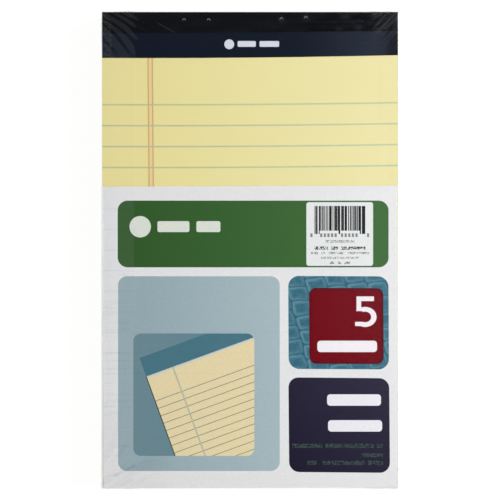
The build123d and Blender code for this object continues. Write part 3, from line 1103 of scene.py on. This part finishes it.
def side_marks(axis, outward, a, b, inside, low, high):
    """Rise, whitening and gloss of the film over one side: its creases, its folded edges and its seam.

    The seam is a bead whose height falls off as a bell curve from mid height. The left side has none, and
    on the two ends it starts a little in from the left.
    """
    along, up = (a, b) if axis == 0 else (b, a)
    middle, half = (low + high) / 2, (high - low) / 2
    span = 1 - axis
    fade = smooth_step(inside, film_round, edge_fade)
    seed = 20 + 10 * axis + 5 * (outward > 0)
    run, height = (along - middle[span]) / mm, up / mm
    crease = side_relief(run, height, half[span] / mm, middle[2] / mm, seed) * fade
    rise, veil = crease * mm, np.zeros_like(a)
    fold = smooth_step(-inside, -fold_width, -film_round)
    gloss = np.maximum(side_gloss + (1 - side_gloss) * crease / side_rise, fold * fold_gloss)
    if (axis, outward) != (0, -1):
        bead = np.exp(-(((up - middle[2]) / seam_half_width) ** 2))
        if axis == 1:
            bead *= smooth_step(along - low[0], film_round, seam_start)
        rise = rise * (1 - bead) + seam_height * bead
        veil = bead * seam_whiteness
    return rise, veil, gloss


def film_face(axis, outward, lines, low, high, card_top):
    """One side of the film: its points, its whitening and its gloss, on a grid of the two other directions.

    A point is moved to the nearest place of the inner box that is smaller by the corner radius all round,
    then out again by that radius along the direction between them, and on by the rise of the film there.
    """
    first, second = (axis + 1) % 3, (axis + 2) % 3
    a, b = np.meshgrid(lines[first], lines[second], indexing="ij")
    box = np.empty(a.shape + (3,))
    box[..., first], box[..., second] = a, b
    box[..., axis] = high[axis] if outward > 0 else low[axis]
    inner = np.clip(box, low + film_round, high - film_round)
    normal = box - inner
    normal /= np.linalg.norm(normal, axis=-1, keepdims=True)
    inside = np.minimum(a - lines[first][0], lines[first][-1] - a)
    inside = np.minimum(inside, np.minimum(b - lines[second][0], lines[second][-1] - b))
    rise, veil, gloss = np.zeros_like(a), np.zeros_like(a), np.zeros_like(a)
    if axis != 2:
        rise, veil, gloss = side_marks(axis, outward, a, b, inside, low, high)
    elif outward > 0:
        rise, veil, gloss = front_relief(a / mm, b / mm)
        dip = smooth_step(b, card_top - film_dip_run / 2, card_top + film_dip_run / 2)
        rise = rise * mm * smooth_step(inside, film_round, edge_fade)
        rise = rise - film_dip * dip * smooth_step(inside, film_round, film_dip_side)
    return inner + normal * (film_round + rise)[..., None], veil, gloss


def film_shell(material):
    """The film's outer skin: six sides on shared lines, joined where they meet."""
    low, high = (np.array(corner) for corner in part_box("shrink_film"))
    crest = side_rise * mm
    low = low + np.array([crest, seam_height, 0])
    high = high - np.array([seam_height, seam_height, crest])
    card_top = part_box("printed_card")[1][1]
    card_steps = card_top + np.linspace(-1, 1, card_step_count) * film_dip_run
    seam_steps = (low[2] + high[2]) / 2 + np.array(seam_step_shares) * seam_half_width
    front_steps = (front_reach, front_fine_step, front_wide_step)
    lines = (
        edge_steps(low[0], high[0], *front_steps),
        edge_steps(low[1], high[1], *front_steps, card_steps),
        edge_steps(low[2], high[2], side_reach, side_step, side_step, seam_steps),
    )
    points, veils, glosses, faces, count = [], [], [], [], 0
    for axis in range(3):
        for outward in (-1, 1):
            grid, veil, gloss = film_face(axis, outward, lines, low, high, card_top)
            index = count + np.arange(gloss.size).reshape(gloss.shape)
            corners = [index[:-1, :-1], index[1:, :-1], index[1:, 1:], index[:-1, 1:]]
            quads = np.stack(corners, axis=-1).reshape(-1, 4)
            faces.append(quads if outward > 0 else quads[:, ::-1])
            points.append(grid.reshape(-1, 3))
            veils.append(veil.ravel())
            glosses.append(gloss.ravel())
            count += gloss.size
    points = np.concatenate(points)
    keys = np.round(points / (0.001 * mm)).astype(np.int64)
    _, kept, joined = np.unique(keys, axis=0, return_index=True, return_inverse=True)
    faces = joined.ravel()[np.concatenate(faces)]
    surface = (points[kept], faces, material)
    piece = new_piece("clear_film_wrap", *surface, "clear_film", "shrink_film", smooth=True)
    # The crease numbers include painted shade, and the veil numbers painted highlights, reflections and light
    keep_numbers(piece, "crease", "POINT", np.concatenate(glosses)[kept])
    keep_numbers(piece, "veil", "POINT", np.concatenate(veils)[kept])


def finish_node(name, material):
    """Give a piece of the frame its finished material in every slot."""
    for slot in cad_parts[name].material_slots:
        slot.material = material


paper = ruled_paper()
node_finishes = {
    "backboard": grey_chipboard(),
    "header_strip": navy_strip(),
    "binding_tape": black_tape(),
    "staples": staple_steel(),
}
for number in range(1, pad_count + 1):
    sheet_block(number, paper)
    for piece_name, finish in node_finishes.items():
        finish_node(f"pad_{number}_{piece_name}", finish)
finish_node("printed_card", printed_board())
film_shell(clear_film())

# Floor, lights and camera

floor_size = 4.0
floor_drop = 0.1 * mm
floor_glow = 0.94

# Lamps round the pack: place, size and power
lamps = {
    "right_lamp": ((0.6, 0.12, 0.72), 0.5, 8.3),
    "left_lamp": ((-0.8, -0.1, 0.95), 0.6, 0.8),
    "foot_lamp": ((0.2, -0.9, 0.9), 0.7, 2.8),
    "head_lamp": ((0.1, 0.9, 0.9), 0.7, 1.75),
}

# Light of the surround, and the heights and places between which it changes
zenith_light = 0.03
low_light, low_run = 0.3, (0.97, 0.3)
horizon_light, horizon_run = 0.65, (0.14, 0.02)
panel_light = 0.6
panel_left, panel_right = (0.018, 0.056), (0.17, 0.11)
panel_foot, panel_head = (-0.08, 0.0), (0.07, 0.056)


def pale_floor():
    """A plain white floor that glows a little, so that it stays pale under soft light."""
    material, r, shader, place = new_material("pale_floor")
    colour = r.paint(r.noise(place, 0.004, 1.0), (0.11, 0.11, 0.11, 1.0), (0.13, 0.13, 0.13, 1.0))
    dress(r, shader, colour, 0.9, 0.1)
    r.fill(shader, Emission_Color=(1.0, 1.0, 1.0, 1.0), Emission_Strength=floor_glow)
    half = floor_size / 2
    round_pack = ((-half, -half), (half, -half), (half, half), (-half, half))
    mesh = bpy.data.meshes.new("floor")
    mesh.from_pydata([(x, y, -floor_drop) for x, y in round_pack], [], [(0, 1, 2, 3)])
    mesh.materials.append(material)
    floor = placed("floor", mesh)


def soft_light(name, place, size, power):
    """A square lamp that faces the middle of the pack."""
    lamp = bpy.data.lights.new(name, "AREA")
    lamp.shape = "SQUARE"
    lamp.size = size
    lamp.energy = power
    holder = placed(name, lamp)
    holder.location = place
    away = -np.array(place)
    pitch = math.atan2(math.hypot(away[0], away[1]), -away[2])
    holder.rotation_euler = (pitch, 0, math.atan2(away[1], away[0]) - math.pi / 2)


def studio_surround():
    """Dim light from all round: dark overhead, brighter low down, and with a faint panel right of overhead.

    The panel has soft edges on its left and at its foot, and a sharper one at its head.
    """
    world = bpy.data.worlds.new("studio")
    world.use_nodes = True
    r = Recipe(world.node_tree)
    x, y, z = r.parts(r.add("ShaderNodeTexCoord").outputs["Generated"])
    low = r.times(r.step(z, *low_run), low_light)
    low = r.calc("MULTIPLY_ADD", r.step(z, *horizon_run), horizon_light, low)
    ends = r.times(r.step(y, *panel_foot), r.step(y, *panel_head))
    sides = r.times(r.step(x, *panel_left), r.step(x, *panel_right))
    panel = r.times(r.times(sides, ends), panel_light)
    total = r.plus(r.most(low, panel), zenith_light)
    r.fill(world.node_tree.nodes["Background"].inputs, Color=(1.0, 1.0, 1.0, 1.0), Strength=total)
    bpy.context.scene.world = world


pale_floor()
for name, (place, size, power) in lamps.items():
    soft_light(name, place, size, power)
studio_surround()
bpy.context.scene.view_settings.view_transform = "Standard"

# The photo is 500 pixels square at 2.330 pixels to the millimetre, on the top pad's front
photo_width = 500
photo_scale = 2.330
photo_centre = (250.15, 250.04)
camera_lens = 200.0
sensor_width = 36.0
camera_reach = 20.0

front_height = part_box("pad_1_sheets")[1][2]
view_width = photo_width / photo_scale * mm
camera = placed("camera", bpy.data.cameras.new("camera"))
camera.data.lens = camera_lens
camera.data.sensor_width = sensor_width
camera.data.clip_end = camera_reach
across, down = ((photo_width / 2 - place) / photo_scale * mm for place in photo_centre)
camera.location = (across, -down, front_height + view_width * camera_lens / sensor_width)
bpy.context.scene.camera = camera
